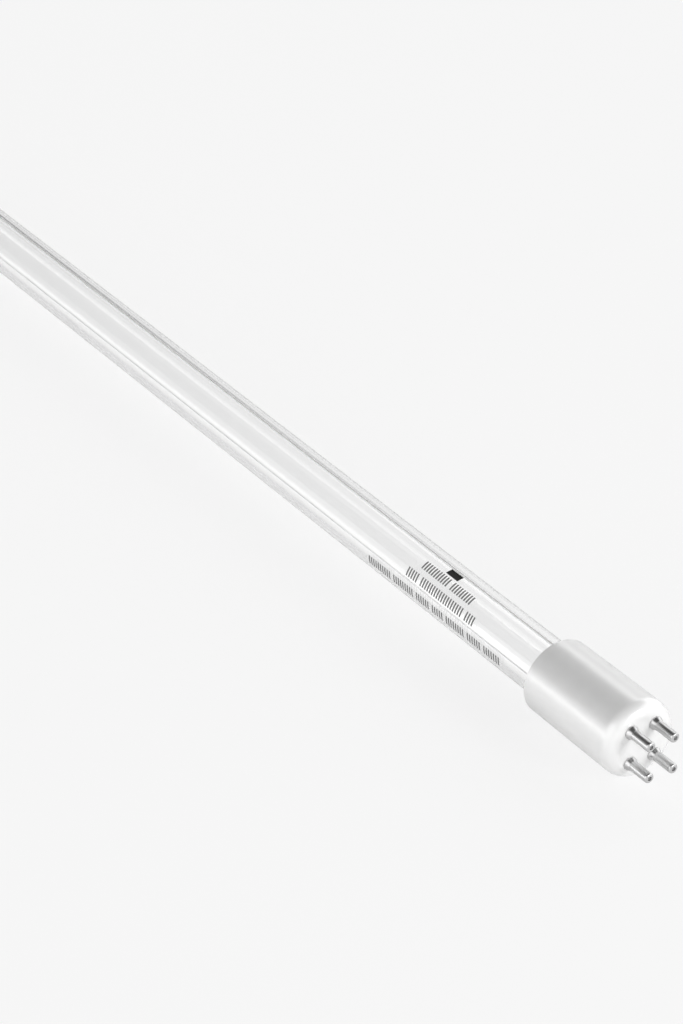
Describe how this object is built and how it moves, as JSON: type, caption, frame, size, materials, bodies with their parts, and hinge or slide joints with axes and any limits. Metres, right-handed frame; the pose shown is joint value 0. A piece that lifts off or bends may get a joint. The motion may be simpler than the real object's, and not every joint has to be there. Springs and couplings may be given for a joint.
{
  "type": "germicidal lamp",
  "caption": "Straight clear quartz ultraviolet lamp with a ceramic cap and contact pins at one end and a plain ceramic cap at the other.",
  "frame": {"origin": "centre of the pin cap's front face, on the lamp's axis", "axes": "+X along the lamp's axis, the way the pins point; +Z along the long side of the rectangle of pins; +Y along its short side"},
  "size_m": [0.4429, 0.0186, 0.0186],
  "materials": {
    "quartz": "clear polished fused quartz",
    "cap_ceramic": "white, semi-gloss",
    "cap_cement": "matt, slightly rough",
    "pin_metal": "bright nickel plate, drawn along the pin",
    "nickel_wire": "drawn wire, satin",
    "molybdenum": "thin rolled foil",
    "coated_tungsten": "coil with a chalky white coat",
    "mercury": "liquid mirror"
  },
  "bodies": {
    "root": {"contact_pin_1": "pin_metal", "contact_pin_2": "pin_metal", "contact_pin_3": "pin_metal", "contact_pin_4": "pin_metal", "end_cap": "cap_ceramic", "end_cap_cement": "cap_cement", "far_filament": "coated_tungsten", "far_foil_lower": "molybdenum", "far_foil_upper": "molybdenum", "far_lead_lower": "nickel_wire", "far_lead_upper": "nickel_wire", "far_support_lower": "nickel_wire", "far_support_upper": "nickel_wire", "mercury_drop": "mercury", "near_filament": "coated_tungsten", "near_foil_lower": "molybdenum", "near_foil_upper": "molybdenum", "near_lead_lower": "nickel_wire", "near_lead_upper": "nickel_wire", "near_support_lower": "nickel_wire", "near_support_upper": "nickel_wire", "pin_cap": "cap_ceramic", "pin_cap_cement": "cap_cement", "quartz_tube": "quartz", "return_wire_lower": "nickel_wire", "return_wire_upper": "nickel_wire"}
  },
  "joints": []
}
